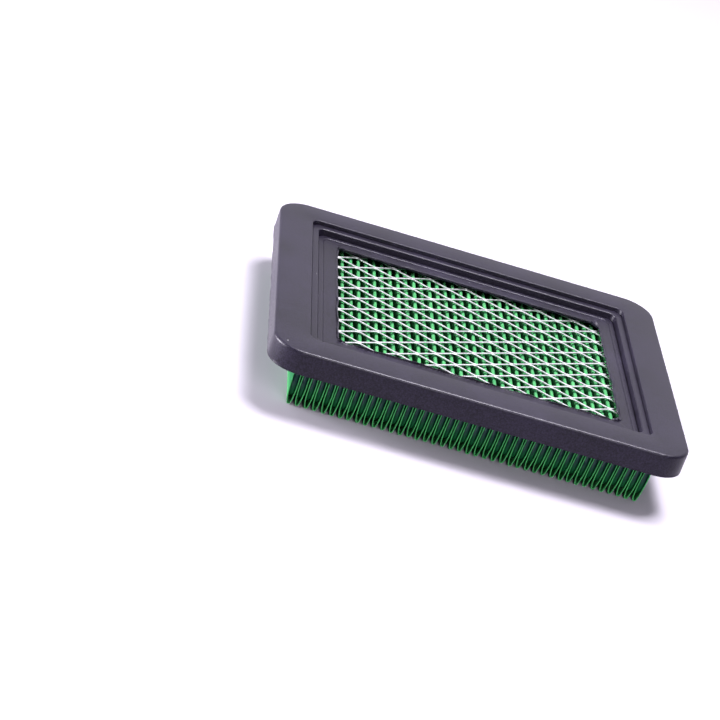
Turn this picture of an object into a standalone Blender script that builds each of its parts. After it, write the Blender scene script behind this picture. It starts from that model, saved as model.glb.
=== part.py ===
"""Panel air filter cartridge for a small engine.

A moulded soft rim carries a pleated sheet of filter cloth. The rim's stepped recess frames an
expanded metal screen, which lies over the pleats' upper folds and is held by the recess's ledge.
A comb of sealing compound closes the pleats' upward-facing pockets along each long side.

Frame: +X along the rim's long side and across the pleats, +Y along the folds, +Z up.
The origin is at the centre of the underside, where the lower folds rest. Units are metres.
"""

import math

import bmesh
import bpy
from mathutils import Vector

# Whole cartridge
RIM_LENGTH = 0.1330
RIM_WIDTH = 0.1146
RIM_THICKNESS = 0.0076
OVERALL_HEIGHT = 0.0218
CLEARANCE = 0.0003

# Rim and its stepped recess: each step's length, width and corner radius, and depth below the top
RIM_CORNER_RADIUS = 0.0100
RIM_EDGE_ROUNDING = 0.0009
UPPER_STEP = (0.1099, 0.0920, 0.0030)
UPPER_STEP_DEPTH = 0.0013
LOWER_STEP = (0.1049, 0.0862, 0.0024)
LEDGE_DEPTH = 0.0033
APERTURE = (0.0906, 0.0714, 0.0036)
LEDGE_THICKNESS = 0.0008
CORNER_SEGMENTS = 5

# Pleated cloth
FOLD_COUNT = 42
FOLD_PITCH = 0.00272
PLEAT_WIDTH = 0.0980
CLOTH_THICKNESS = 0.0005
LOWER_FOLD_RADIUS = 0.00042
UPPER_FOLD_RADIUS = 0.00038
KNEE_HEIGHT = 0.0070
KNEE_HALF_WIDTH = 0.00090
UPPER_SPREAD = 1.012
END_PANEL_FLARE = 0.0016
FOLD_SEGMENTS = 4

# Expanded metal screen
SCREEN_THICKNESS = 0.0006
STRAND_WIDTH = 0.0010
HOLE_HALF_LENGTH = 0.00637
HOLE_HALF_WIDTH = 0.00406
SCREEN_ROWS = 15
HOLES_IN_OUTER_ROW = 9

# Sealing compound
SEAL_DEPTH = 0.0042
SEAL_SPINE_LENGTH = 0.1160
SEAL_TIP_HEIGHT = 0.0052
SEAL_TIP_HALF_WIDTH = 0.00018
SEAL_ROOT_HALF_WIDTH = 0.00040

# Heights worked out from the sizes above
RIM_BOTTOM = OVERALL_HEIGHT - RIM_THICKNESS
UPPER_STEP_HEIGHT = OVERALL_HEIGHT - UPPER_STEP_DEPTH
LEDGE_HEIGHT = OVERALL_HEIGHT - LEDGE_DEPTH
LEDGE_UNDERSIDE = LEDGE_HEIGHT - LEDGE_THICKNESS
SCREEN_TOP = LEDGE_UNDERSIDE - CLEARANCE
SCREEN_BOTTOM = SCREEN_TOP - SCREEN_THICKNESS
PLEAT_TOP = SCREEN_BOTTOM - CLEARANCE


def clear_scene():
    for scene_object in list(bpy.data.objects):
        bpy.data.objects.remove(scene_object, do_unlink=True)


def make_material(name, colour, roughness, metallic=0.0):
    material = bpy.data.materials.new(name)
    material.use_nodes = True
    shader = material.node_tree.nodes["Principled BSDF"]
    shader.inputs["Base Color"].default_value = (*colour, 1.0)
    shader.inputs["Roughness"].default_value = roughness
    shader.inputs["Metallic"].default_value = metallic
    return material


def make_object(name, shape, material):
    """Turn a bmesh into a named object with outward faces and crisp, shaded edges."""
    bmesh.ops.recalc_face_normals(shape, faces=shape.faces)
    mesh = bpy.data.meshes.new(name)
    shape.to_mesh(mesh)
    shape.free()
    mesh.shade_smooth()
    mesh.set_sharp_from_angle(angle=math.radians(35))
    mesh.materials.append(material)
    scene_object = bpy.data.objects.new(name, mesh)
    bpy.context.collection.objects.link(scene_object)
    return scene_object


def rounded_rectangle(length, width, radius, height):
    """Points of a level rounded rectangle, counter-clockwise from its +X side."""
    points = []
    for quarter, (side_x, side_y) in enumerate(((1, 1), (-1, 1), (-1, -1), (1, -1))):
        centre_x = side_x * (length / 2 - radius)
        centre_y = side_y * (width / 2 - radius)
        for step in range(CORNER_SEGMENTS + 1):
            angle = math.pi / 2 * (quarter + step / CORNER_SEGMENTS)
            points.append(Vector((centre_x + radius * math.cos(angle),
                                  centre_y + radius * math.sin(angle), height)))
    return points


def ring_solid(outlines):
    """Closed ring whose cross-section visits each outline in turn and returns to the first."""
    shape = bmesh.new()
    loops = [[shape.verts.new(point) for point in outline] for outline in outlines]
    for loop, next_loop in zip(loops, loops[1:] + loops[:1]):
        for index in range(len(loop)):
            after = (index + 1) % len(loop)
            shape.faces.new((loop[index], loop[after], next_loop[after], next_loop[index]))
    return shape


def extrude_profile(profile, near, far):
    """Prism of an XZ profile, from Y = near to Y = far."""
    shape = bmesh.new()
    near_face = shape.faces.new([shape.verts.new((x, near, z)) for x, z in profile])
    extruded = bmesh.ops.extrude_face_region(shape, geom=[near_face])
    moved = [item for item in extruded["geom"] if isinstance(item, bmesh.types.BMVert)]
    bmesh.ops.translate(shape, verts=moved, vec=(0, far - near, 0))
    return shape


def build_seal_frame():
    """Moulded rim: top face, two steps down to the ledge, the aperture, and the pleats' seat."""
    rounding = RIM_EDGE_ROUNDING
    seat_length = 2 * (end_panel_top() + CLOTH_THICKNESS / 2 + CLEARANCE)
    seat_width = PLEAT_WIDTH + 2 * CLEARANCE
    seat_radius = 0.0010
    gallery_length = SEAL_SPINE_LENGTH + 2 * CLEARANCE
    gallery_width = seat_width - 4 * CLEARANCE
    outlines = [
        rounded_rectangle(RIM_LENGTH, RIM_WIDTH, RIM_CORNER_RADIUS, RIM_BOTTOM),
        rounded_rectangle(RIM_LENGTH, RIM_WIDTH, RIM_CORNER_RADIUS, OVERALL_HEIGHT - rounding),
        rounded_rectangle(RIM_LENGTH - 2 * rounding, RIM_WIDTH - 2 * rounding,
                          RIM_CORNER_RADIUS - rounding, OVERALL_HEIGHT),
        rounded_rectangle(*UPPER_STEP, OVERALL_HEIGHT),
        rounded_rectangle(*UPPER_STEP, UPPER_STEP_HEIGHT),
        rounded_rectangle(*LOWER_STEP, UPPER_STEP_HEIGHT),
        rounded_rectangle(*LOWER_STEP, LEDGE_HEIGHT),
        rounded_rectangle(*APERTURE, LEDGE_HEIGHT),
        rounded_rectangle(*APERTURE, LEDGE_UNDERSIDE),
        rounded_rectangle(gallery_length, gallery_width, seat_radius, LEDGE_UNDERSIDE),
        rounded_rectangle(gallery_length, gallery_width, seat_radius, SCREEN_BOTTOM),
        rounded_rectangle(seat_length, seat_width, seat_radius, SCREEN_BOTTOM),
        rounded_rectangle(seat_length, seat_width, seat_radius, RIM_BOTTOM),
    ]
    material = make_material("moulded_rim", (0.060, 0.057, 0.074), 0.42)
    return make_object("seal_frame", ring_solid(outlines), material)


def hole_centres():
    """Centre of every diamond hole; neighbouring rows are set over by half a hole."""
    middle_row = (SCREEN_ROWS - 1) / 2
    for row in range(SCREEN_ROWS):
        hole_count = HOLES_IN_OUTER_ROW + row % 2
        for column in range(hole_count):
            yield ((row - middle_row) * HOLE_HALF_LENGTH,
                   (2 * column - (hole_count - 1)) * HOLE_HALF_WIDTH)


def build_wire_screen():
    """Expanded metal: strands round diamond holes, each strand shared by two holes."""
    diagonal = math.hypot(HOLE_HALF_LENGTH, HOLE_HALF_WIDTH)
    inradius = HOLE_HALF_LENGTH * HOLE_HALF_WIDTH / diagonal
    opening = 1 - STRAND_WIDTH / 2 / inradius
    corners = ((HOLE_HALF_LENGTH, 0), (0, HOLE_HALF_WIDTH),
               (-HOLE_HALF_LENGTH, 0), (0, -HOLE_HALF_WIDTH))
    shape = bmesh.new()
    for centre_x, centre_y in hole_centres():
        outer = [shape.verts.new((centre_x + x, centre_y + y, SCREEN_BOTTOM)) for x, y in corners]
        inner = [shape.verts.new((centre_x + opening * x, centre_y + opening * y, SCREEN_BOTTOM))
                 for x, y in corners]
        for index in range(len(corners)):
            after = (index + 1) % len(corners)
            shape.faces.new((outer[index], outer[after], inner[after], inner[index]))
    bmesh.ops.remove_doubles(shape, verts=shape.verts, dist=0.0001)
    extruded = bmesh.ops.extrude_face_region(shape, geom=shape.faces[:])
    moved = [item for item in extruded["geom"] if isinstance(item, bmesh.types.BMVert)]
    bmesh.ops.translate(shape, verts=moved, vec=(0, 0, SCREEN_THICKNESS))
    material = make_material("galvanised_strand", (0.78, 0.79, 0.82), 0.30, 1.0)
    return make_object("wire_screen", shape, material)


def fold_position(index):
    """X of a lower fold at whole numbers, and of an upper fold at halves."""
    return (index - (FOLD_COUNT - 1) / 2) * FOLD_PITCH


def end_panel_top():
    """X of the middle of the last panel at its upper edge, where it flares into the rim."""
    return (fold_position(FOLD_COUNT - 1) + LOWER_FOLD_RADIUS) * UPPER_SPREAD + END_PANEL_FLARE


def fold_arc(centre_x, centre_z, radius, start, end):
    """Points of a half turn about a fold, between two angles in degrees."""
    points = []
    for step in range(FOLD_SEGMENTS + 1):
        angle = math.radians(start + (end - start) * step / FOLD_SEGMENTS)
        points.append((centre_x + radius * math.cos(angle), centre_z + radius * math.sin(angle)))
    return points


def cloth_face(side):
    """One face of the folded cloth; side is +1 above the cloth's middle and -1 below it."""
    half = CLOTH_THICKNESS / 2
    lower_radius = LOWER_FOLD_RADIUS - side * half
    upper_radius = UPPER_FOLD_RADIUS + side * half
    lower_centre = LOWER_FOLD_RADIUS + half
    upper_centre = PLEAT_TOP - UPPER_FOLD_RADIUS - half
    knee_spread = 1 + (UPPER_SPREAD - 1) * KNEE_HEIGHT / PLEAT_TOP
    last = FOLD_COUNT - 1
    points = [(-end_panel_top() + side * half, PLEAT_TOP)]
    for index in range(FOLD_COUNT):
        middle = fold_position(index)
        knee = KNEE_HALF_WIDTH - side * half
        if index > 0:
            points.append((middle * knee_spread - knee, KNEE_HEIGHT))
        points += fold_arc(middle, lower_centre, lower_radius, 180, 360)
        if index < last:
            points.append((middle * knee_spread + knee, KNEE_HEIGHT))
            ridge = fold_position(index + 0.5) * UPPER_SPREAD
            points += fold_arc(ridge, upper_centre, upper_radius, 180, 0)
    points.append((end_panel_top() - side * half, PLEAT_TOP))
    return points


def build_pleated_media():
    """One sheet of cloth, folded up and down 42 times, whose end panels flare into the rim."""
    profile = cloth_face(-1) + cloth_face(+1)[::-1]
    shape = extrude_profile(profile, -PLEAT_WIDTH / 2, PLEAT_WIDTH / 2)
    material = make_material("filter_cloth", (0.045, 0.42, 0.20), 0.85)
    return make_object("pleated_media", shape, material)


def build_edge_seal(name, side):
    """Comb of sealing compound: a spine over the folds, with a finger down in each pocket."""
    spine_end = SEAL_SPINE_LENGTH / 2
    tip_spread = 1 + (UPPER_SPREAD - 1) * SEAL_TIP_HEIGHT / PLEAT_TOP
    profile = [(-spine_end, SCREEN_TOP), (-spine_end, SCREEN_BOTTOM)]
    for index in range(FOLD_COUNT):
        root = fold_position(index) * UPPER_SPREAD
        tip = fold_position(index) * tip_spread
        profile.append((root - SEAL_ROOT_HALF_WIDTH, SCREEN_BOTTOM))
        profile.append((tip - SEAL_TIP_HALF_WIDTH, SEAL_TIP_HEIGHT))
        profile.append((tip + SEAL_TIP_HALF_WIDTH, SEAL_TIP_HEIGHT))
        profile.append((root + SEAL_ROOT_HALF_WIDTH, SCREEN_BOTTOM))
    profile += [(spine_end, SCREEN_BOTTOM), (spine_end, SCREEN_TOP)]
    outside = side * (PLEAT_WIDTH / 2 - 2 * CLEARANCE)
    shape = extrude_profile(profile, outside, outside - side * SEAL_DEPTH)
    material = make_material(name + "_compound", (0.055, 0.065, 0.075), 0.5)
    return make_object(name, shape, material)


def main():
    clear_scene()
    build_seal_frame()
    build_wire_screen()
    build_pleated_media()
    build_edge_seal("edge_seal_front", -1)
    build_edge_seal("edge_seal_back", +1)


main()
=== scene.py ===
"""Panel air filter cartridge: finished surfaces for a moulded rim, a screen and pleated cloth.

Laid out as an add-on and run as a script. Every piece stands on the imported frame: its places and
outer sizes are read from the frame's nodes, and the settings below hold what the frame leaves out.
"""

import math

import bmesh
import bpy
from mathutils import Matrix, Vector, noise


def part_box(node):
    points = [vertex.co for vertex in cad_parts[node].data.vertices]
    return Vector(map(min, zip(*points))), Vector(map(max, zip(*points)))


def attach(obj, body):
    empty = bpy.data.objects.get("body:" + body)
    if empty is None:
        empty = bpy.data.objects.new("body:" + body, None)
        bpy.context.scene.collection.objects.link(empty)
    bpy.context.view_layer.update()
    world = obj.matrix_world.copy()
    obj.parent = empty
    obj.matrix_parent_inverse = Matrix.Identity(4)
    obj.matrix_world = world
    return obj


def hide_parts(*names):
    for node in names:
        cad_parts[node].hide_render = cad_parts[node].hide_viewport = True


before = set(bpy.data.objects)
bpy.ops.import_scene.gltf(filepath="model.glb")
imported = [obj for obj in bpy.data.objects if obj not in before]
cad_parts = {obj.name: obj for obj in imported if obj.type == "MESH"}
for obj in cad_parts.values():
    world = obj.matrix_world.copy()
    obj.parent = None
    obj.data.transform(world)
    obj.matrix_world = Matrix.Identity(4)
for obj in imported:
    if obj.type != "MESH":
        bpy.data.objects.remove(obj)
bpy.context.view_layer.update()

bl_info = {
    "name": "Panel Air Filter Cartridge",
    "version": (1, 0, 0),
    "blender": (4, 5, 0),
    "location": "View3D > Sidebar > Air Filter",
    "description": "Builds a moulded panel air filter cartridge piece by piece",
    "category": "Object",
}

ROOT = "root"
MM = 0.001
RIM_LOW, RIM_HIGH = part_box("seal_frame")
SCREEN_LOW, SCREEN_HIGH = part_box("wire_screen")
CLOTH_LOW, CLOTH_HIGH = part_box("pleated_media")

RIM_LENGTH = RIM_HIGH.x - RIM_LOW.x
RIM_WIDTH = RIM_HIGH.y - RIM_LOW.y
CLOTH_WIDTH = CLOTH_HIGH.y - CLOTH_LOW.y
FOLD_HEIGHT = CLOTH_HIGH.z - CLOTH_LOW.z
SCREEN_HALF_ROOM = 38.0 * MM
STRAIGHT_SIDE = 36.0 * MM
SCREEN_GAP = 0.12 * MM
STRAND_POINTS = 257
CLOTH_ROWS = 27
# Place and width of the painted shadow of each strand on the cloth's crowns
STRAND_SHADOW_SHIFT = 0.48 * MM
STRAND_SHADOW_WIDTH = 0.74 * MM
LOWER_FOLD_LIFT = 0.25 * MM

DUST_COLOUR = (0.36, 0.35, 0.38)
# Painted shade deep between the folds
PAINTED_FOLD_SHADE_COLOUR = (0.003, 0.070, 0.028)
# Painted shadow of the screen's strands on the crowns
PAINTED_STRAND_SHADOW_COLOUR = (0.002, 0.040, 0.014)
# Paler cut fibres, brightened further as painted light on the pleats' end faces
CUT_EDGE_AND_PAINTED_LIGHT_COLOUR = (0.075, 0.42, 0.13)
# Painted shade: the dark green of the shaded pocket bottoms, put on the compound
PAINTED_POCKET_SHADE_COLOUR = (0.004, 0.072, 0.022)
# Painted sheen: the grey highlight streak on the compound beads
PAINTED_SHEEN_COLOUR = (0.120, 0.165, 0.175)
LIGHTS = (  # name, place in metres, sides in metres, watts; each aims at the cartridge
    ("left_softbox", (-0.97, 0.05, 0.17), (0.5, 0.4), 34.0),
    ("top_softbox", (0.17, 0.16, 1.08), (0.42, 0.42), 33.0),
    ("corner_light", (-0.70, 0.09, 0.76), (0.10, 0.10), 1.6),
    ("front_fill", (0.18, -0.92, 0.62), (0.45, 0.50), 6.8),
)


# ---- Settings ----

def length_setting(name, description, default):
    return bpy.props.FloatProperty(name=name, description=description, default=default,
                                   min=0.0, subtype="DISTANCE", unit="LENGTH", precision=5)


def angle_setting(name, description, degrees):
    return bpy.props.FloatProperty(name=name, description=description,
                                   default=math.radians(degrees), subtype="ANGLE")


def colour_setting(name, description, default):
    return bpy.props.FloatVectorProperty(name=name, description=description, default=default,
                                         size=3, min=0.0, max=1.0, subtype="COLOR")


def count_setting(name, description, default):
    return bpy.props.IntProperty(name=name, description=description, default=default, min=1)


class RimSettings(bpy.types.PropertyGroup):
    flash_width: length_setting("Flash", "How far the ragged mould flash stands out", 0.16 * MM)
    corner_radius: length_setting("Corner", "Radius of the rim's outer corners", 10.0 * MM)
    edge_rounding: length_setting("Edge rounding", "Rounding of the top outer edge", 1.0 * MM)
    recess_length: length_setting("Recess length", "Length of the first step's opening",
                                  109.9 * MM)
    recess_width: length_setting("Recess width", "Width of the first step's opening", 92.0 * MM)
    recess_depth: length_setting("Recess depth", "Depth of the first step", 1.3 * MM)
    ledge_length: length_setting("Ledge length", "Length inside the second step", 104.9 * MM)
    ledge_width: length_setting("Ledge width", "Width inside the second step", 86.2 * MM)
    ledge_depth: length_setting("Ledge depth", "Depth of the ledge below the top", 3.3 * MM)
    aperture_length: length_setting("Aperture length", "Length of the open window", 91.5 * MM)
    aperture_width: length_setting("Aperture width", "Width of the open window", 71.4 * MM)
    aperture_shift: length_setting("Aperture shift",
                                   "How far the window lies right of the middle", 0.50 * MM)
    aperture_raggedness: length_setting("Aperture raggedness",
                                        "Waviness of the moulded edge round the screen",
                                        0.45 * MM)
    colour: colour_setting("Rim colour", "Colour of the moulded rim", (0.0065, 0.0052, 0.0110))


class ScreenSettings(bpy.types.PropertyGroup):
    half_length: length_setting("Half diamond length", "Half of a diamond's long way", 6.37 * MM)
    half_width: length_setting("Half diamond width", "Half of a diamond's short way", 4.06 * MM)
    strand_width: length_setting("Strand width", "Width of one strand", 0.66 * MM)
    strand_thickness: length_setting("Strand thickness", "Thickness of the sheet metal", 0.38 * MM)
    bond_length: length_setting("Bond length", "Length over which two strands are joined",
                                1.1 * MM)
    lean: angle_setting("Strand lean", "Angle by which stretching turns each strand", -6.0)
    shift: length_setting("Screen shift", "How far the screen lies towards the front", 0.62 * MM)
    colour: colour_setting("Metal colour", "Colour of the galvanised metal", (0.80, 0.80, 0.84))


class ClothSettings(bpy.types.PropertyGroup):
    fold_count: count_setting("Folds", "Number of lower folds", 42)
    fold_pitch: length_setting("Fold pitch", "Distance from one lower fold to the next", 2.72 * MM)
    thickness: length_setting("Cloth thickness", "Thickness of the filter cloth", 0.24 * MM)
    lower_radius: length_setting("Lower fold radius", "Radius of the middle of a lower fold",
                                 0.52 * MM)
    upper_radius: length_setting("Upper fold radius", "Radius of the middle of an upper fold",
                                 0.46 * MM)
    pinch: length_setting("Pinch", "Half the distance between the walls below an upper fold",
                          0.31 * MM)
    crown_height: length_setting("Crown height", "Height over which an upper fold swells",
                                 10.0 * MM)
    belly_height: length_setting("Belly height", "Height over which a pocket opens out", 2.2 * MM)
    spread: bpy.props.FloatProperty(name="Upper spread",
                                    description="Upper folds' pitch over the lower folds' pitch",
                                    default=1.0106)
    lower_shift: length_setting("Lower shift", "Place of the lower folds' middle", 0.36 * MM)
    upper_shift: length_setting("Upper shift", "Place of the upper folds' middle", 1.0 * MM)
    end_flare: length_setting("End flare", "How far the left end panel leans out at the top",
                              0.5 * MM)
    wander: length_setting("Wander", "How far a fold strays from its place", 0.20 * MM)
    sink: length_setting("Sink", "How far the lowest upper folds lie below the highest", 0.38 * MM)
    colour: colour_setting("Cloth colour", "Colour of the filter cloth", (0.062, 0.240, 0.093))
    shade_colour: colour_setting("Cloth shade", "Colour of the cloth's thicker fibres",
                                 (0.034, 0.180, 0.068))


class SealSettings(bpy.types.PropertyGroup):
    depth: length_setting("Bead depth", "How far the compound reaches in from the side", 3.8 * MM)
    recess: length_setting("Bead recess", "How far the bead lies inside the cloth's edge",
                           0.25 * MM)
    foot_height: length_setting("Bead foot", "Height of the bead's lower end", 1.6 * MM)
    colour: colour_setting("Compound colour", "Colour of the sealing compound",
                           (0.006, 0.036, 0.029))


class StageSettings(bpy.types.PropertyGroup):
    camera_place: bpy.props.FloatVectorProperty(
        name="Camera place", description="Where the camera stands", size=3,
        default=(-0.1448, -0.7145, 0.3283), subtype="TRANSLATION", unit="LENGTH")
    camera_heading: angle_setting("Camera heading", "Turn of the view from +Y towards +X", 9.02)
    camera_pitch: angle_setting("Camera pitch", "Angle of the view below the horizon", 24.54)
    camera_roll: angle_setting("Camera roll", "Turn of the camera about its view", 19.73)
    camera_lens: bpy.props.FloatProperty(name="Lens", description="Focal length, mm",
                                         default=123.68)
    floor_size: length_setting("Floor size", "Side of the square floor", 6.0)
    floor_colour: colour_setting("Floor colour", "Colour of the floor", (0.362, 0.335, 0.402))


# ---- Node helpers ----

def feed(tree, socket, value):
    """Link a socket into an input, or set the input to a plain value."""
    if isinstance(value, bpy.types.NodeSocket):
        tree.links.new(value, socket)
    else:
        socket.default_value = value


def calc(tree, operation, *values):
    """One math node; returns its result."""
    node = tree.nodes.new("ShaderNodeMath")
    node.operation = operation
    for socket, value in zip(node.inputs, values):
        feed(tree, socket, value)
    return node.outputs["Value"]


def product(tree, *values):
    """The values multiplied together, from the left."""
    result = values[0]
    for value in values[1:]:
        result = calc(tree, "MULTIPLY", result, value)
    return result


def total(tree, *values):
    """The values added together, from the left."""
    result = values[0]
    for value in values[1:]:
        result = calc(tree, "ADD", result, value)
    return result


def parts_of(tree, vector):
    """The X, Y and Z outputs of a vector socket."""
    node = tree.nodes.new("ShaderNodeSeparateXYZ")
    feed(tree, node.inputs[0], vector)
    return node.outputs


def upright_curve(tree, curve):
    """A curve whose normals stand up, so what is swept along it doesn't twist."""
    node = tree.nodes.new("GeometryNodeSetCurveNormal")
    node.mode = "Z_UP"
    feed(tree, node.inputs["Curve"], curve)
    return node.outputs["Curve"]


def finish_tree(tree, result, geometry, material):
    """Give the geometry its material and hand it to the tree's output."""
    painted = add_node(tree, "GeometryNodeSetMaterial", Geometry=geometry, Material=material)
    feed(tree, result.inputs["Geometry"], painted.outputs["Geometry"])
    return tree


def geometry_tree(name, inputs):
    """Geometry node tree with named inputs; returns the tree and its two group nodes."""
    tree = bpy.data.node_groups.new(name, "GeometryNodeTree")
    tree.interface.new_socket("Geometry", in_out="OUTPUT", socket_type="NodeSocketGeometry")
    tree.interface.new_socket("Geometry", in_out="INPUT", socket_type="NodeSocketGeometry")
    for label, kind in inputs:
        tree.interface.new_socket(label, in_out="INPUT", socket_type="NodeSocket" + kind)
    return tree, tree.nodes.new("NodeGroupInput"), tree.nodes.new("NodeGroupOutput")


def add_node(tree, kind, **sockets):
    """Add a geometry node and feed its inputs, named with _ for each space."""
    node = tree.nodes.new(kind)
    for label, value in sockets.items():
        feed(tree, node.inputs[label.replace("_", " ")], value)
    return node


def place_vector(tree, x=0.0, y=0.0, z=0.0):
    node = tree.nodes.new("ShaderNodeCombineXYZ")
    for socket, value in zip(node.inputs, (x, y, z)):
        feed(tree, socket, value)
    return node.outputs["Vector"]


def grow(name, base_mesh, steps):
    """Plain mesh that node trees, run one after another, make from a mesh."""
    maker = bpy.data.objects.new(name + "_maker", base_mesh)
    bpy.context.collection.objects.link(maker)
    for tree, settings in steps:
        modifier = maker.modifiers.new(tree.name, "NODES")
        modifier.node_group = tree
        for item in tree.interface.items_tree:
            if item.item_type == "SOCKET" and item.name in settings:
                modifier[item.identifier] = settings[item.name]
    evaluated = maker.evaluated_get(bpy.context.evaluated_depsgraph_get())
    mesh = bpy.data.meshes.new_from_object(evaluated)
    mesh.name = name
    maker.modifiers.clear()
    bpy.data.objects.remove(maker)
    return mesh


# ---- Mesh helpers ----

def rounded_outline(length, width, radius, height, straight_points=44, corner_points=12):
    """Points of a level rounded rectangle, with as many points on every outline of a piece."""
    points = []
    half_x = length / 2 - radius
    half_y = width / 2 - radius
    corners = ((half_x, half_y), (-half_x, half_y), (-half_x, -half_y), (half_x, -half_y))
    for quarter, (centre_x, centre_y) in enumerate(corners):
        for step in range(corner_points + 1):
            angle = math.pi / 2 * (quarter + step / corner_points)
            points.append(Vector((centre_x + radius * math.cos(angle),
                                  centre_y + radius * math.sin(angle), height)))
        start = points[-1]
        next_x, next_y = corners[(quarter + 1) % 4]
        turn = math.pi / 2 * (quarter + 1)
        end = Vector((next_x + radius * math.cos(turn), next_y + radius * math.sin(turn), height))
        points += [start.lerp(end, step / straight_points) for step in range(1, straight_points)]
    return points


def soften_section(stations, steps=4):
    """Round the corners of a closed section.

    A station is (length, width, corner radius, height, rounding); its section runs in half
    length and height, so each rounding is a short curve between the two straight runs it meets.
    """
    softened = []
    for index, station in enumerate(stations):
        here = Vector(station[:4])
        rounding = station[4]
        if rounding == 0:
            softened.append(here)
            continue
        ends = []
        for neighbour in (stations[index - 1], stations[(index + 1) % len(stations)]):
            away = Vector(neighbour[:4]) - here
            run = math.hypot(away[0] / 2, away[3])
            ends.append(here + away * min(rounding / run, 0.5))
        for step in range(steps + 1):
            share = step / steps
            softened.append(ends[0] * (1 - share) ** 2 + here * 2 * share * (1 - share)
                            + ends[1] * share ** 2)
    return softened


def finished_mesh(shape, name):
    """Mesh of a bmesh shape, with every face turned outwards."""
    bmesh.ops.recalc_face_normals(shape, faces=shape.faces)
    mesh = bpy.data.meshes.new(name)
    shape.to_mesh(mesh)
    shape.free()
    return mesh


def ring_mesh(name, outlines):
    """Closed ring whose section visits each outline in turn and returns to the first."""
    shape = bmesh.new()
    loops = [[shape.verts.new(point) for point in outline] for outline in outlines]
    for loop, next_loop in zip(loops, loops[1:] + loops[:1]):
        for index in range(len(loop)):
            after = (index + 1) % len(loop)
            shape.faces.new((loop[index], loop[after], next_loop[after], next_loop[index]))
    return finished_mesh(shape, name)


def add_piece(name, mesh, material, sharp_degrees=None):
    """Link a finished mesh as a shown piece at the origin."""
    mesh.shade_smooth()
    if sharp_degrees is not None:
        mesh.set_sharp_from_angle(angle=math.radians(sharp_degrees))
    mesh.materials.clear()
    mesh.materials.append(material)
    piece = bpy.data.objects.new(name, mesh)
    bpy.context.collection.objects.link(piece)
    return piece


def apply_modifiers(piece):
    """Turn a piece's modifiers into its plain mesh."""
    evaluated = piece.evaluated_get(bpy.context.evaluated_depsgraph_get())
    finished = bpy.data.meshes.new_from_object(evaluated)
    piece.modifiers.clear()
    piece.data = finished


# ---- Materials ----

class MaterialBuilder:
    """A Principled material on Object coordinates, built up node by node."""

    def __init__(self, name, roughness, metallic=0.0):
        self.material = bpy.data.materials.new(name)
        self.material.use_nodes = True
        self.tree = self.material.node_tree
        self.shader = self.tree.nodes["Principled BSDF"]
        self.shader.inputs["Roughness"].default_value = roughness
        self.shader.inputs["Metallic"].default_value = metallic
        self.place = self.tree.nodes.new("ShaderNodeTexCoord").outputs["Object"]

    def stretched(self, scale):
        mapping = self.tree.nodes.new("ShaderNodeMapping")
        mapping.inputs["Scale"].default_value = scale
        self.tree.links.new(self.place, mapping.inputs["Vector"])
        return mapping.outputs["Vector"]

    def noise(self, scale, detail=4.0, roughness=0.55, place=None):
        node = self.tree.nodes.new("ShaderNodeTexNoise")
        node.inputs["Scale"].default_value = scale
        node.inputs["Detail"].default_value = detail
        node.inputs["Roughness"].default_value = roughness
        self.tree.links.new(place or self.place, node.inputs["Vector"])
        return node.outputs["Fac"]

    def cells(self, scale):
        node = self.tree.nodes.new("ShaderNodeTexVoronoi")
        node.inputs["Scale"].default_value = scale
        self.tree.links.new(self.place, node.inputs["Vector"])
        return node.outputs["Distance"]

    def fit(self, value, low, high, to_low=0.0, to_high=1.0):
        node = self.tree.nodes.new("ShaderNodeMapRange")
        feed(self.tree, node.inputs["Value"], value)
        for label, number in zip(("From Min", "From Max", "To Min", "To Max"),
                                 (low, high, to_low, to_high)):
            node.inputs[label].default_value = number
        return node.outputs["Result"]

    def blend(self, share, first, second):
        node = self.tree.nodes.new("ShaderNodeMix")
        node.data_type = "RGBA"
        feed(self.tree, node.inputs["Factor"], share)
        for socket, colour in ((node.inputs[6], first), (node.inputs[7], second)):
            plain = colour if isinstance(colour, bpy.types.NodeSocket) else (*colour, 1.0)
            feed(self.tree, socket, plain)
        return node.outputs[2]

    def colour(self, value):
        self.tree.links.new(value, self.shader.inputs["Base Color"])

    def roughness(self, value):
        self.tree.links.new(value, self.shader.inputs["Roughness"])

    def bump(self, height, distance, strength=1.0):
        node = self.tree.nodes.new("ShaderNodeBump")
        node.inputs["Strength"].default_value = strength
        node.inputs["Distance"].default_value = distance
        self.tree.links.new(height, node.inputs["Height"])
        earlier = self.shader.inputs["Normal"]
        if earlier.is_linked:
            self.tree.links.new(earlier.links[0].from_socket, node.inputs["Normal"])
        self.tree.links.new(node.outputs["Normal"], earlier)


def moulded_rim_material(colour):
    """Satin moulded polyurethane: fine skin grain, cloudy gloss and a few specks of dust."""
    build = MaterialBuilder("moulded_polyurethane", roughness=0.40)
    tree = build.tree
    cloud = build.noise(45.0, detail=3.0)
    grain = build.noise(2600.0, detail=2.0)
    darker = tuple(part * 0.38 for part in colour)
    lighter = tuple(min(1.0, part * 2.7) for part in colour)
    mottle = total(tree, product(tree, cloud, 0.3),
                   product(tree, build.noise(2300.0, detail=2.0), 0.7))
    skin = build.blend(build.fit(mottle, 0.38, 0.66), darker, lighter)
    dust = build.fit(build.cells(260.0), 0.060, 0.040)
    rare = build.fit(build.noise(120.0, detail=1.0), 0.61, 0.65)
    build.colour(build.blend(product(tree, dust, rare), skin, DUST_COLOUR))
    build.roughness(build.fit(mottle, 0.36, 0.68, 0.30, 0.44))
    build.shader.inputs["Specular IOR Level"].default_value = 0.255
    build.shader.inputs["Specular Tint"].default_value = (0.91, 0.86, 1.0, 1.0)
    build.bump(grain, 0.00005, 0.80)
    build.bump(build.noise(900.0, detail=1.0), 0.00005, 0.35)
    build.bump(cloud, 0.00030, 0.10)
    return build.material


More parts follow.
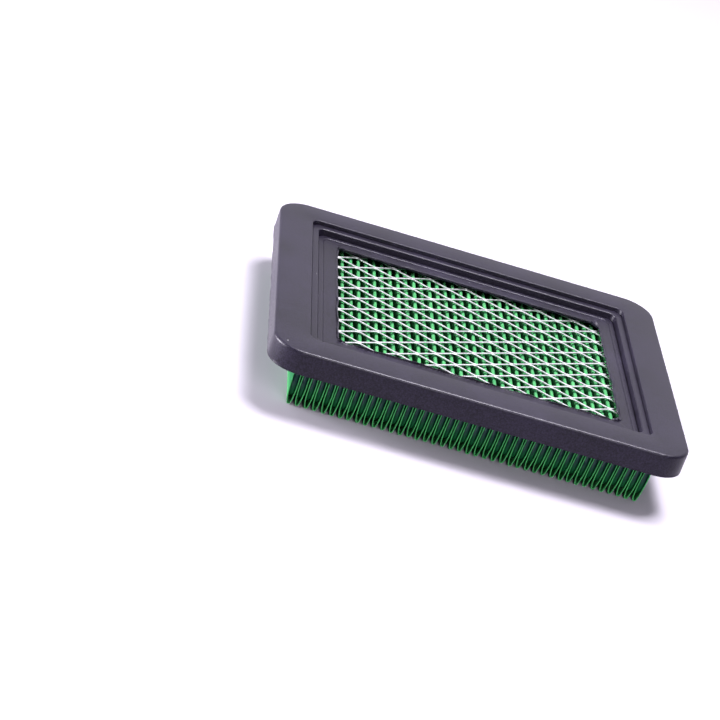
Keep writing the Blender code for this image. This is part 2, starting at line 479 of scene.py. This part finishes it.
def galvanised_material(colour):
    """Bright zinc on stretched steel: a fine grain and small dull patches."""
    build = MaterialBuilder("galvanised_steel", roughness=0.30, metallic=1.0)
    patches = build.noise(700.0, detail=3.0)
    duller = tuple(part * 0.86 for part in colour)
    build.colour(build.blend(build.fit(patches, 0.45, 0.75), colour, duller))
    build.roughness(build.fit(patches, 0.3, 0.7, 0.24, 0.40))
    build.bump(build.noise(2400.0, detail=2.0), 0.00003, 0.3)
    return build.material


def painted_strand_shadow(build, place, screen):
    """Painted strand shadow: 1 on the crowns of the cloth in a band just in front of each strand, where its
    shadow falls, 0 elsewhere.
    """
    tree = build.tree
    along = calc(tree, "DIVIDE", place["X"], screen.half_length)
    across = total(tree, place["Y"], screen.shift + STRAND_SHADOW_SHIFT)
    across = calc(tree, "DIVIDE", across, screen.half_width)
    nearest = 0.0
    for direction in ("ADD", "SUBTRACT"):
        lattice = total(tree, calc(tree, direction, along, across), 100.0)
        nearest = calc(tree, "MAXIMUM", nearest, calc(tree, "PINGPONG", lattice, 1.0))
    width = STRAND_SHADOW_WIDTH / screen.half_width
    shadow_band = build.fit(nearest, 1 - width, 1 - width / 2)
    return product(tree, shadow_band,
                   build.fit(place["Z"], CLOTH_HIGH.z - 2.0 * MM, CLOTH_HIGH.z - 1.2 * MM))


def filter_cloth_material(colour, shade_colour, screen):
    """Matt nonwoven cloth: matted fibres, cloudy thickness, painted shade deep between the folds, painted
    strand shadows on the crowns, and paler cut edges that also carry painted light.
    """
    build = MaterialBuilder("filter_cloth", roughness=0.88)
    tree = build.tree
    along = build.noise(900.0, detail=5.0, place=build.stretched((1.0, 0.35, 1.6)))
    across = build.noise(1500.0, detail=4.0, place=build.stretched((0.6, 1.5, 0.8)))
    fibres = total(tree, product(tree, along, 0.55), product(tree, across, 0.45))
    cloud = build.noise(140.0, detail=3.0)
    depth = total(tree, product(tree, fibres, 0.6), product(tree, cloud, 0.4))
    body = build.blend(build.fit(depth, 0.40, 0.60), shade_colour, colour)
    place = parts_of(tree, build.place)
    from_middle = calc(tree, "ABSOLUTE", place["Y"])
    from_centre = calc(tree, "ABSOLUTE", place["X"])
    height = place["Z"]
    # Painted shade: the walls darken between the folds, below the crowns and above the lower folds, short of
    # the end panels
    painted_fold_shade = product(
        tree, build.fit(height, CLOTH_HIGH.z - 0.9 * MM, CLOTH_HIGH.z - 2.4 * MM),
        build.fit(height, 2.0 * MM, 6.5 * MM),
        build.fit(from_centre, CLOTH_HIGH.x - 0.9 * MM, CLOTH_HIGH.x - 1.3 * MM), 0.75)
    body = build.blend(painted_fold_shade, body, PAINTED_FOLD_SHADE_COLOUR)
    shadow_paint_share = painted_strand_shadow(build, place, screen)
    # Painted shadow of the strands on the cloth's crowns
    body = build.blend(product(tree, shadow_paint_share, 0.90), body, PAINTED_STRAND_SHADOW_COLOUR)
    # Cut edges: paler cut fibres, with painted light on the pleats' end faces added
    cut_edge_and_painted_light = build.fit(from_middle, CLOTH_WIDTH / 2 - 0.10 * MM, CLOTH_WIDTH / 2 - 0.03 * MM)
    build.colour(build.blend(cut_edge_and_painted_light, body, CUT_EDGE_AND_PAINTED_LIGHT_COLOUR))
    build.bump(fibres, 0.00018, 0.55)
    build.shader.inputs["Specular IOR Level"].default_value = 0.08
    return build.material


def compound_material(colour):
    """Dark sealing compound with a dull, slightly lumpy skin, a painted sheen streak on each bead's upper
    part and painted pocket shade low down.
    """
    build = MaterialBuilder("sealing_compound", roughness=0.38)
    tree = build.tree
    build.shader.inputs["Specular IOR Level"].default_value = 0.10
    lumps = build.noise(420.0, detail=3.0)
    # Painted sheen: a pale streak left of each bead's middle stands in for its glossy highlight
    painted_sheen = tree.nodes.new("ShaderNodeAttribute")
    painted_sheen.attribute_name = "painted_sheen"
    sheen_paint_mask = product(tree, painted_sheen.outputs["Fac"], build.fit(lumps, 0.30, 0.55))
    # Painted shade: lower down, the compound takes the dark green of the shaded pocket
    painted_low_shade = build.fit(parts_of(tree, build.place)["Z"], 8.0 * MM, 4.5 * MM)
    body = build.blend(painted_low_shade, colour, PAINTED_POCKET_SHADE_COLOUR)
    build.colour(build.blend(sheen_paint_mask, body, PAINTED_SHEEN_COLOUR))
    build.bump(lumps, 0.00025, 0.5)
    return build.material


# ---- Rim ----

def rim_stations(rim):
    """The rim's section, from the foot of its outer wall over the top and back underneath."""
    length = RIM_LENGTH - 2 * rim.flash_width
    width = RIM_WIDTH - 2 * rim.flash_width
    radius = rim.corner_radius
    top = RIM_HIGH.z
    foot = RIM_LOW.z
    land = top - rim.recess_depth
    ledge = top - rim.ledge_depth
    draft = 0.2 * MM
    groove = 1.75 * MM
    groove_width = 0.28 * MM
    land_groove = land - 0.30 * MM
    land_gap = 0.5 * MM
    foot_groove = ledge - 0.55 * MM
    foot_gap = 0.7 * MM
    lip_foot = ledge - 0.75 * MM
    ledge_foot = CLOTH_HIGH.z + 0.75 * MM
    seat_length = CLOTH_HIGH.x - CLOTH_LOW.x + 0.3 * MM
    seat_width = CLOTH_WIDTH + 0.3 * MM
    aperture_radius = 3.6 * MM
    ledge_radius = 2.4 * MM
    inner = [(rim.ledge_length - draft - 2 * inset, rim.ledge_width - draft - 2 * inset,
              ledge_radius) for inset in (groove, groove + groove_width,
                                          groove + 2 * groove_width)]
    return [
        (length, width, radius, foot, 0.10 * MM),
        (length, width, radius, foot + 0.28 * MM, 0.0),
        (length, width, radius, foot + 0.60 * MM, 0.0),
        (length, width, radius, foot + 0.90 * MM, 0.0),
        (length, width, radius, top, rim.edge_rounding),
        (rim.recess_length, rim.recess_width, 3.0 * MM, top, 0.30 * MM),
        (rim.recess_length - draft, rim.recess_width - draft, 2.9 * MM, land_groove, 0.04 * MM),
        (rim.recess_length - draft - land_gap, rim.recess_width - draft - land_gap, 2.8 * MM,
         land_groove, 0.04 * MM),
        (rim.recess_length - draft - 1.3 * land_gap, rim.recess_width - draft - 1.3 * land_gap,
         2.7 * MM, land, 0.08 * MM),
        (rim.ledge_length, rim.ledge_width, ledge_radius, land, 0.45 * MM),
        (rim.ledge_length - draft, rim.ledge_width - draft, ledge_radius, foot_groove, 0.05 * MM),
        (rim.ledge_length - draft - foot_gap, rim.ledge_width - draft - foot_gap, ledge_radius,
         foot_groove, 0.05 * MM),
        (rim.ledge_length - draft - 1.3 * foot_gap, rim.ledge_width - draft - 1.3 * foot_gap,
         ledge_radius, ledge, 0.12 * MM),
        (*inner[0], ledge, 0.08 * MM),
        (*inner[1], ledge - 0.14 * MM, 0.08 * MM),
        (*inner[2], ledge + 0.05 * MM, 0.12 * MM),
        (rim.aperture_length + 1.5 * MM, rim.aperture_width + 1.5 * MM, aperture_radius,
         ledge, 0.06 * MM),
        (rim.aperture_length + 1.2 * MM, rim.aperture_width + 1.2 * MM, aperture_radius,
         ledge + 0.90 * MM, 0.10 * MM),
        (rim.aperture_length, rim.aperture_width, aperture_radius, ledge + 0.40 * MM, 0.15 * MM),
        (rim.aperture_length + draft, rim.aperture_width + draft, aperture_radius, lip_foot,
         0.20 * MM),
        (rim.aperture_length + 5 * MM, rim.aperture_width + 5 * MM, aperture_radius,
         ledge_foot, 0.0),
        (seat_length, seat_width, 1.0 * MM, ledge_foot, 0.0),
        (seat_length, seat_width, 1.0 * MM, foot + 0.3 * MM, 0.0),
        (seat_length + 0.8 * MM, seat_width + 0.8 * MM, 1.2 * MM, foot, 0.15 * MM),
    ]


def outward_from_middle(place):
    """Level direction from the middle of the nearest side, so long sides stay straight."""
    across = max(0.0, abs(place.x) - (RIM_LENGTH - RIM_WIDTH) / 2 - STRAIGHT_SIDE)
    along = max(0.0, abs(place.y) - STRAIGHT_SIDE)
    return Vector((math.copysign(across, place.x), math.copysign(along, place.y), 0)).normalized()


def roughen_rim(mesh, rim):
    """Mould flash at the foot of the outer wall, and a wavy edge round the window."""
    foot = RIM_LOW.z
    ledge = RIM_HIGH.z - rim.ledge_depth
    half_x = RIM_LENGTH / 2 - 6 * MM
    half_y = RIM_WIDTH / 2 - 6 * MM
    window_x = rim.aperture_length / 2
    window_y = rim.aperture_width / 2
    for vertex in mesh.vertices:
        place = vertex.co
        is_outside = abs(place.x) > half_x or abs(place.y) > half_y
        if is_outside and place.z < foot + 0.29 * MM:
            ragged = 0.25 + noise.noise(place * 230.0) + 0.7 * noise.noise(place * 800.0)
            sag = rim.flash_width * max(0.0, min(1.0, ragged * 1.8))
            place += outward_from_middle(place) * sag
            place.z += 0.5 * sag
        in_x = window_x - 0.2 * MM < abs(place.x) < window_x + 0.9 * MM
        in_y = window_y - 0.2 * MM < abs(place.y) < window_y + 0.9 * MM
        near_x = in_x and abs(place.y) < window_y + MM
        near_y = in_y and abs(place.x) < window_x + MM
        if ledge - 1.2 * MM < place.z and (near_x or near_y):
            level = Vector((place.x, place.y, 0.0))
            place.x += rim.aperture_shift
            ragged = noise.noise(level * 160.0) + 0.3 * noise.noise(level * 500.0)
            place -= outward_from_middle(place) * rim.aperture_raggedness * ragged
            if place.z > ledge + 0.03 * MM:
                usual, swing = (0.70, 1.1) if place.y < 0 else (0.14, 0.35)
                share = (usual + swing * noise.noise(level * 170.0)
                         + 0.2 * noise.noise(level * 600.0))
                place.z = ledge + (place.z - ledge) * max(0.12, min(1.0, share))


class FILTER_OT_rim(bpy.types.Operator):
    """Mould the soft rim with its stepped recess, ledge and window"""
    bl_idname = "filter.rim"
    bl_label = "Mould the rim"

    def execute(self, context):
        rim = context.scene.filter_rim
        section = soften_section(rim_stations(rim))
        mesh = ring_mesh("moulded_rim", [rounded_outline(*station) for station in section])
        roughen_rim(mesh, rim)
        piece = add_piece("moulded_rim", mesh, moulded_rim_material(rim.colour), 50)
        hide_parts("seal_frame")
        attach(piece, ROOT)
        return {"FINISHED"}


# ---- Expanded metal screen ----

def zigzag(tree, along, half_length, bond_length, parity):
    """Soft trapezoid wave along X: flat over each bond, straight between bonds."""
    bonds = calc(tree, "DIVIDE", along, half_length)
    bonds = total(tree, bonds, parity)
    triangle = calc(tree, "PINGPONG", total(tree, bonds, 100.0), 1.0)
    triangle = calc(tree, "MULTIPLY_ADD", triangle, -2.0, 1.0)
    corner_sharpness = 10.0
    flat_share = calc(tree, "DIVIDE", bond_length, half_length)
    steep = calc(tree, "DIVIDE", triangle, calc(tree, "SUBTRACT", 1.0, flat_share))
    size = calc(tree, "POWER", calc(tree, "ABSOLUTE", steep), corner_sharpness)
    limit = calc(tree, "POWER", total(tree, size, 1.0), 1.0 / corner_sharpness)
    return calc(tree, "DIVIDE", steep, limit)


def screen_tree():
    """Expanded metal: zigzag strands that lean and join their neighbours at the bonds."""
    tree, given, result = geometry_tree("expanded_metal", [
        ("Half Length", "Float"), ("Half Width", "Float"), ("Strand Width", "Float"),
        ("Strand Thickness", "Float"), ("Bond Length", "Float"), ("Lean", "Float"),
        ("Sheet Length", "Float"), ("Strands", "Int"), ("Height", "Float"), ("Shift", "Float"),
        ("Material", "Material")])
    value = given.outputs
    start = product(tree, value["Sheet Length"], -0.5)
    line = add_node(tree, "GeometryNodeCurvePrimitiveLine", Start=place_vector(tree, x=start),
                    End=place_vector(tree, x=product(tree, start, -1.0)))
    points = add_node(tree, "GeometryNodeResampleCurve", Curve=line.outputs["Curve"], Count=STRAND_POINTS)
    copies = tree.nodes.new("GeometryNodeDuplicateElements")
    copies.domain = "SPLINE"
    feed(tree, copies.inputs["Geometry"], points.outputs["Curve"])
    feed(tree, copies.inputs["Amount"], value["Strands"])
    strand = copies.outputs["Duplicate Index"]

    along = parts_of(tree, tree.nodes.new("GeometryNodeInputPosition").outputs[0])["X"]
    wave = zigzag(tree, along, value["Half Length"], value["Bond Length"], strand)
    half_strand = product(tree, value["Strand Width"], 0.5)
    reach = product(tree, half_strand, calc(tree, "COSINE", value["Lean"]))
    reach = calc(tree, "SUBTRACT", product(tree, value["Half Width"], 0.5), reach)
    rise = product(tree, half_strand, calc(tree, "SINE", value["Lean"]))
    middle = product(tree, calc(tree, "SUBTRACT", value["Strands"], 1.0), 0.5)
    row = product(tree, calc(tree, "SUBTRACT", strand, middle), value["Half Width"])
    across = total(tree, calc(tree, "MULTIPLY_ADD", wave, reach, row), value["Shift"])
    height = calc(tree, "MULTIPLY_ADD", wave, rise, value["Height"])
    bent = add_node(tree, "GeometryNodeSetPosition", Geometry=copies.outputs["Geometry"],
                    Position=place_vector(tree, along, across, height))
    leaning = add_node(tree, "GeometryNodeSetCurveTilt", Curve=upright_curve(tree, bent.outputs["Geometry"]),
                       Tilt=product(tree, value["Lean"], -1.0))

    bar = tree.nodes.new("GeometryNodeCurvePrimitiveQuadrilateral")
    feed(tree, bar.inputs["Width"], value["Strand Width"])
    feed(tree, bar.inputs["Height"], value["Strand Thickness"])
    eased = add_node(tree, "GeometryNodeFilletCurve", Curve=bar.outputs["Curve"],
                     Radius=product(tree, value["Strand Thickness"], 0.28))
    swept = add_node(tree, "GeometryNodeCurveToMesh", Curve=leaning.outputs["Curve"],
                     Profile_Curve=eased.outputs["Curve"], Fill_Caps=True)
    solid = add_node(tree, "GeometryNodeRealizeInstances", Geometry=swept.outputs["Mesh"])
    return finish_tree(tree, result, solid.outputs["Geometry"], value["Material"])


class FILTER_OT_screen(bpy.types.Operator):
    """Stretch the expanded metal screen that lies over the pleats"""
    bl_idname = "filter.screen"
    bl_label = "Stretch the screen"

    def execute(self, context):
        screen = context.scene.filter_screen
        rise = (screen.strand_width * math.sin(abs(screen.lean))
                + screen.strand_thickness / 2 + SCREEN_GAP)
        strands = 2 * math.ceil(SCREEN_HALF_ROOM / screen.half_width)
        material = galvanised_material(screen.colour)
        mesh = grow("expanded_screen", bpy.data.meshes.new("no_strand"), [(screen_tree(), {
            "Half Length": screen.half_length,
            "Half Width": screen.half_width,
            "Strand Width": screen.strand_width,
            "Strand Thickness": screen.strand_thickness,
            "Bond Length": screen.bond_length,
            "Lean": screen.lean,
            "Sheet Length": SCREEN_HIGH.x - SCREEN_LOW.x,
            "Strands": strands,
            "Height": CLOTH_HIGH.z + rise,
            "Shift": -screen.shift,
            "Material": material,
        })])
        piece = add_piece("expanded_screen", mesh, material, 35)
        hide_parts("wire_screen")
        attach(piece, ROOT)
        return {"FINISHED"}


# ---- Pleated cloth and its edge seals ----

def pocket_half_width(cloth, height):
    """Half the distance between the middles of a pocket's two walls at a height."""
    widest = cloth.fold_pitch / 2 - cloth.pinch
    foot = cloth.lower_radius + cloth.thickness / 2
    opened = 1 - math.exp(-max(0.0, height - foot) / cloth.belly_height)
    near_top = max(0.0, 1 - (FOLD_HEIGHT - height) / cloth.crown_height)
    crown = (cloth.upper_radius - cloth.pinch) * min(1.0, 1.6 * near_top)
    return cloth.lower_radius + (widest - cloth.lower_radius) * opened - crown


def half_fold(cloth, wall_steps=11, arc_steps=5):
    """Middle of the cloth from the bottom of a lower fold up to the top of an upper fold."""
    low = cloth.lower_radius + cloth.thickness / 2
    high = FOLD_HEIGHT - cloth.upper_radius - cloth.thickness / 2
    points = []
    for step in range(arc_steps):
        angle = math.pi / 2 * step / arc_steps
        points.append((cloth.lower_radius * math.sin(angle),
                       low - cloth.lower_radius * math.cos(angle)))
    for step in range(wall_steps + 1):
        height = low + (high - low) * step / wall_steps
        points.append((pocket_half_width(cloth, height), height))
    for step in range(1, arc_steps + 1):
        angle = math.pi / 2 * step / arc_steps
        points.append((cloth.fold_pitch / 2 - cloth.upper_radius * math.cos(angle),
                       high + cloth.upper_radius * math.sin(angle)))
    return points


def fold_mesh(cloth):
    """One whole pocket as a chain of edges, drawn in the XY plane with Y pointing down."""
    right = half_fold(cloth)
    chain = [(-x, z) for x, z in reversed(right)] + right[1:]
    mesh = bpy.data.meshes.new("one_fold")
    mesh.from_pydata([(x, -z, 0.0) for x, z in chain],
                     [(index, index + 1) for index in range(len(chain) - 1)], [])
    return mesh


def pleating_tree():
    """Repeat one fold along X, join the copies and sweep them along Y into a sheet."""
    tree, given, result = geometry_tree("pleating", [
        ("Folds", "Int"), ("Pitch", "Float"), ("Width", "Float"), ("Rows", "Int"),
        ("Lift", "Float"), ("Material", "Material")])
    value = given.outputs
    first = product(tree, calc(tree, "SUBTRACT", value["Folds"], 1.0), -0.5)
    places = add_node(tree, "GeometryNodeMeshLine", Count=value["Folds"],
                      Start_Location=place_vector(tree, x=product(tree, first, value["Pitch"])),
                      Offset=place_vector(tree, x=value["Pitch"]))
    copies = add_node(tree, "GeometryNodeInstanceOnPoints", Points=places.outputs["Mesh"],
                      Instance=value["Geometry"])
    chain = add_node(tree, "GeometryNodeRealizeInstances", Geometry=copies.outputs["Instances"])
    joined = add_node(tree, "GeometryNodeMergeByDistance", Geometry=chain.outputs["Geometry"],
                      Distance=0.01 * MM)
    section = add_node(tree, "GeometryNodeMeshToCurve", Mesh=joined.outputs["Geometry"])
    half = product(tree, value["Width"], 0.5)
    line = add_node(tree, "GeometryNodeCurvePrimitiveLine",
                    Start=place_vector(tree, y=product(tree, half, -1.0), z=value["Lift"]),
                    End=place_vector(tree, y=half, z=value["Lift"]))
    rows = add_node(tree, "GeometryNodeResampleCurve", Curve=line.outputs["Curve"],
                    Count=value["Rows"])
    sheet = add_node(tree, "GeometryNodeCurveToMesh", Curve=upright_curve(tree, rows.outputs["Curve"]),
                     Profile_Curve=section.outputs["Curve"])
    solid = add_node(tree, "GeometryNodeRealizeInstances", Geometry=sheet.outputs["Mesh"])
    return finish_tree(tree, result, solid.outputs["Geometry"], value["Material"])


def random_step(tree, index, seed):
    """A number from -1 to 1 that changes at every whole index."""
    node = tree.nodes.new("ShaderNodeTexWhiteNoise")
    node.noise_dimensions = "1D"
    feed(tree, node.inputs["W"], total(tree, index, seed))
    return calc(tree, "MULTIPLY_ADD", node.outputs["Value"], 2.0, -1.0)


def settling_tree():
    """Let regular folds stray: spread at the top, flared ends, and uneven places and heights."""
    tree, given, result = geometry_tree("settling", [
        ("Folds", "Int"), ("Pitch", "Float"), ("Fold Height", "Float"), ("Spread", "Float"),
        ("Lower Shift", "Float"), ("Upper Shift", "Float"), ("End Flare", "Float"),
        ("Wander", "Float"), ("Sink", "Float"), ("Material", "Material")])
    value = given.outputs
    position = tree.nodes.new("GeometryNodeInputPosition").outputs[0]
    x, y, z = parts_of(tree, position)
    share = calc(tree, "DIVIDE", z, value["Fold Height"])
    rest = calc(tree, "SUBTRACT", 1.0, share)
    middle = product(tree, calc(tree, "SUBTRACT", value["Folds"], 1.0), 0.5)
    fold = total(tree, calc(tree, "DIVIDE", x, value["Pitch"]), middle)
    lower = calc(tree, "ROUND", fold)
    upper = calc(tree, "FLOOR", fold)

    stray = total(tree, product(tree, random_step(tree, lower, 11.0), rest),
                  product(tree, random_step(tree, upper, 57.0), share, 0.45))
    drift = add_node(tree, "ShaderNodeTexNoise", Vector=position, Scale=95.0, Detail=1.0)
    wave = calc(tree, "MULTIPLY_ADD", drift.outputs["Fac"], 2.0, -1.0)
    stray = calc(tree, "MULTIPLY_ADD", wave, 1.1, stray)
    stray = product(tree, stray, product(tree, value["Wander"], 0.5))

    spread = calc(tree, "SUBTRACT", value["Spread"], 1.0)
    wider = product(tree, x, spread, share)
    last = product(tree, middle, value["Pitch"])
    beyond = calc(tree, "SUBTRACT", calc(tree, "ABSOLUTE", x), last)
    is_end = add_node(tree, "ShaderNodeMapRange", Value=beyond)
    is_end.inputs["From Max"].default_value = 0.4 * MM
    flare = calc(tree, "MINIMUM", calc(tree, "SIGN", x), 0.0)
    flare = product(tree, flare, is_end.outputs["Result"], value["End Flare"], share)
    held = calc(tree, "SUBTRACT", 1.0, is_end.outputs["Result"])
    stray = product(tree, stray, held)
    shift = total(tree, product(tree, value["Lower Shift"], rest),
                  product(tree, value["Upper Shift"], share))
    new_x = total(tree, total(tree, x, stray), total(tree, wider, flare))
    new_x = total(tree, new_x, shift)

    lift = calc(tree, "ABSOLUTE", random_step(tree, lower, 83.0))
    lift = product(tree, lift, rest, LOWER_FOLD_LIFT)
    drop = calc(tree, "ABSOLUTE", random_step(tree, upper, 29.0))
    drop = product(tree, drop, share, value["Sink"], -1.0)
    new_z = total(tree, z, total(tree, lift, drop))
    moved = add_node(tree, "GeometryNodeSetPosition", Geometry=value["Geometry"],
                     Position=place_vector(tree, new_x, y, new_z))
    return finish_tree(tree, result, moved.outputs["Geometry"], value["Material"])


def settling_step(cloth, material):
    return settling_tree(), {
        "Folds": cloth.fold_count, "Pitch": cloth.fold_pitch, "Fold Height": FOLD_HEIGHT,
        "Spread": cloth.spread, "Lower Shift": cloth.lower_shift,
        "Upper Shift": cloth.upper_shift, "End Flare": cloth.end_flare,
        "Wander": cloth.wander, "Sink": cloth.sink, "Material": material}


class FILTER_OT_cloth(bpy.types.Operator):
    """Fold the filter cloth into its pleats"""
    bl_idname = "filter.cloth"
    bl_label = "Pleat the cloth"

    def execute(self, context):
        cloth = context.scene.filter_cloth
        material = filter_cloth_material(cloth.colour, cloth.shade_colour,
                                         context.scene.filter_screen)
        mesh = grow("filter_cloth", fold_mesh(cloth), [
            (pleating_tree(), {"Folds": cloth.fold_count, "Pitch": cloth.fold_pitch,
                               "Width": CLOTH_WIDTH, "Rows": CLOTH_ROWS, "Lift": 0.01 * MM,
                               "Material": material}),
            settling_step(cloth, material)])
        piece = add_piece("filter_cloth", mesh, material)
        thicken = piece.modifiers.new("Thickness", "SOLIDIFY")
        thicken.thickness = cloth.thickness
        thicken.offset = 0.0
        apply_modifiers(piece)
        piece.data.set_sharp_from_angle(angle=math.radians(60))
        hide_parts("pleated_media")
        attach(piece, ROOT)
        return {"FINISHED"}


def bead_mesh(cloth, seal, side):
    """Compound in every pocket's end: a rounded bead between the walls, closed at its foot and top."""
    shape = bmesh.new()
    painted_sheen = shape.verts.layers.float.new("painted_sheen")
    overlap = 0.04 * MM
    inner_wall = cloth.thickness / 2 - overlap
    top = FOLD_HEIGHT - cloth.thickness
    heights = [seal.foot_height + (top - seal.foot_height) * step / 8 for step in range(9)]
    outside = CLOTH_WIDTH / 2 - seal.recess
    foot_depth, foot_rise = 2.0 * MM, 3.0 * MM
    fade_start, fade_rise = 5.0 * MM, 5.0 * MM
    bulge = ((-1.0, 0.95), (-0.85, 0.50), (-0.6, 0.22), (-0.3, 0.05), (0.0, 0.0),
             (0.3, 0.05), (0.6, 0.22), (0.85, 0.50), (1.0, 0.95))
    for index in range(cloth.fold_count):
        middle = (index - (cloth.fold_count - 1) / 2) * cloth.fold_pitch
        rows = []
        for height in heights:
            half = pocket_half_width(cloth, height) - inner_wall
            foot_round = foot_depth * max(0.0, 1 - (height - seal.foot_height) / foot_rise) ** 2
            front = [(middle + share * half, side * (outside - depth * MM - foot_round),
                      height) for share, depth in bulge]
            back = [(middle + half, side * (outside - seal.depth), height),
                    (middle - half, side * (outside - seal.depth), height)]
            rows.append([shape.verts.new(point) for point in front + back])
            # Share of the painted sheen, left of the bead's middle, fading in above the fade height
            fade = max(0.0, min(1.0, (height - fade_start) / fade_rise))
            for vertex, (share, depth) in zip(rows[-1], bulge):
                vertex[painted_sheen] = fade * max(0.0, 1 - abs(share + 0.45) / 0.45)
        for row, above in zip(rows, rows[1:]):
            for start in range(len(row)):
                after = (start + 1) % len(row)
                shape.faces.new((row[start], row[after], above[after], above[start]))
        shape.faces.new(reversed(rows[0]))
        shape.faces.new(rows[-1])
    return finished_mesh(shape, "compound_beads")


class FILTER_OT_edge_seals(bpy.types.Operator):
    """Fill the ends of the pleats' pockets with sealing compound"""
    bl_idname = "filter.edge_seals"
    bl_label = "Seal the pleats' ends"

    def execute(self, context):
        cloth = context.scene.filter_cloth
        seal = context.scene.filter_seal
        material = compound_material(seal.colour)
        for name, node, side in (("compound_front", "edge_seal_front", -1),
                                 ("compound_back", "edge_seal_back", 1)):
            mesh = grow(name, bead_mesh(cloth, seal, side), [settling_step(cloth, material)])
            piece = add_piece(name, mesh, material, 50)
            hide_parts(node)
            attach(piece, ROOT)
        return {"FINISHED"}


# ---- Stage ----

def add_floor(stage):
    half = stage.floor_size / 2
    mesh = bpy.data.meshes.new("floor")
    mesh.from_pydata([(-half, -half, 0), (half, -half, 0), (half, half, 0), (-half, half, 0)],
                     [], [(0, 1, 2, 3)])
    build = MaterialBuilder("pale_floor", roughness=0.8)
    build.shader.inputs["Base Color"].default_value = (*stage.floor_colour, 1.0)
    build.shader.inputs["Specular IOR Level"].default_value = 0.2
    mesh.materials.append(build.material)
    floor = bpy.data.objects.new("floor", mesh)
    bpy.context.collection.objects.link(floor)


def add_softbox(name, place, size, power):
    light = bpy.data.lights.new(name, "AREA")
    light.shape = "RECTANGLE"
    light.size, light.size_y = size
    light.energy = power
    lamp = bpy.data.objects.new(name, light)
    lamp.location = place
    lamp.rotation_mode = "QUATERNION"
    lamp.rotation_quaternion = (-Vector(place)).to_track_quat("-Z", "Y")
    bpy.context.collection.objects.link(lamp)


def add_surroundings():
    """Studio walls: bright behind the cartridge, low and high, and dim straight overhead and in front of it.
    """
    world = bpy.data.worlds.new("studio")
    world.use_nodes = True
    bpy.context.scene.world = world
    tree = world.node_tree
    direction = parts_of(tree, tree.nodes.new("ShaderNodeTexCoord").outputs["Generated"])
    backness = tree.nodes.new("ShaderNodeMapRange")
    backness.interpolation_type = "SMOOTHSTEP"
    feed(tree, backness.inputs["Value"], direction["Y"])
    for label, number in zip(("From Min", "From Max", "To Min", "To Max"),
                             (-0.1, 0.80, 0.15, 1.02)):
        backness.inputs[label].default_value = number
    background = tree.nodes["Background"]
    background.inputs["Color"].default_value = (0.95, 0.93, 1.0, 1.0)
    feed(tree, background.inputs["Strength"], backness.outputs["Result"])


def add_camera(stage):
    data = bpy.data.cameras.new("camera")
    data.sensor_width = 36.0
    data.lens = stage.camera_lens
    data.clip_start = 0.01
    data.clip_end = 20.0
    camera = bpy.data.objects.new("camera", data)
    heading, pitch = stage.camera_heading, stage.camera_pitch
    forward = Vector((math.sin(heading) * math.cos(pitch), math.cos(heading) * math.cos(pitch),
                      -math.sin(pitch)))
    level_right = forward.cross(Vector((0, 0, 1))).normalized()
    level_up = level_right.cross(forward)
    roll = stage.camera_roll
    right = level_right * math.cos(roll) + level_up * math.sin(roll)
    turned = Matrix((right, right.cross(forward), -forward)).transposed().to_4x4()
    camera.matrix_world = Matrix.Translation(Vector(stage.camera_place)) @ turned
    bpy.context.collection.objects.link(camera)
    bpy.context.scene.camera = camera


class FILTER_OT_stage(bpy.types.Operator):
    """Set the pale floor, the soft lights and the camera"""
    bl_idname = "filter.stage"
    bl_label = "Set the stage"

    def execute(self, context):
        stage = context.scene.filter_stage
        context.scene.view_settings.view_transform = "Standard"
        add_floor(stage)
        add_surroundings()
        for light in LIGHTS:
            add_softbox(*light)
        add_camera(stage)
        return {"FINISHED"}


# ---- Panel and registration ----

SETTINGS = (("filter_rim", RimSettings), ("filter_screen", ScreenSettings),
    ("filter_cloth", ClothSettings),
    ("filter_seal", SealSettings),
    ("filter_stage", StageSettings),
)
OPERATORS = (FILTER_OT_rim, FILTER_OT_screen, FILTER_OT_cloth, FILTER_OT_edge_seals,
             FILTER_OT_stage)


class FILTER_PT_cartridge(bpy.types.Panel):
    """Sidebar panel with every piece of the cartridge and its settings"""
    bl_idname = "FILTER_PT_cartridge"
    bl_label = "Air Filter Cartridge"
    bl_space_type = "VIEW_3D"
    bl_region_type = "UI"
    bl_category = "Air Filter"

    def draw(self, context):
        for operator in OPERATORS:
            self.layout.operator(operator.bl_idname)
        for attribute, group in SETTINGS:
            box = self.layout.box()
            box.label(text=group.__name__.replace("Settings", ""))
            for setting in group.__annotations__:
                box.prop(getattr(context.scene, attribute), setting)


CLASSES = (*(group for _, group in SETTINGS), *OPERATORS, FILTER_PT_cartridge)


def register():
    for cls in CLASSES:
        bpy.utils.register_class(cls)
    for attribute, group in SETTINGS:
        setattr(bpy.types.Scene, attribute, bpy.props.PointerProperty(type=group))


def unregister():
    for attribute, _ in SETTINGS:
        delattr(bpy.types.Scene, attribute)
    for cls in reversed(CLASSES):
        bpy.utils.unregister_class(cls)


def main():
    register()
    bpy.ops.filter.stage()
    bpy.ops.filter.rim()
    bpy.ops.filter.screen()
    bpy.ops.filter.cloth()
    bpy.ops.filter.edge_seals()


if __name__ == "__main__":
    main()
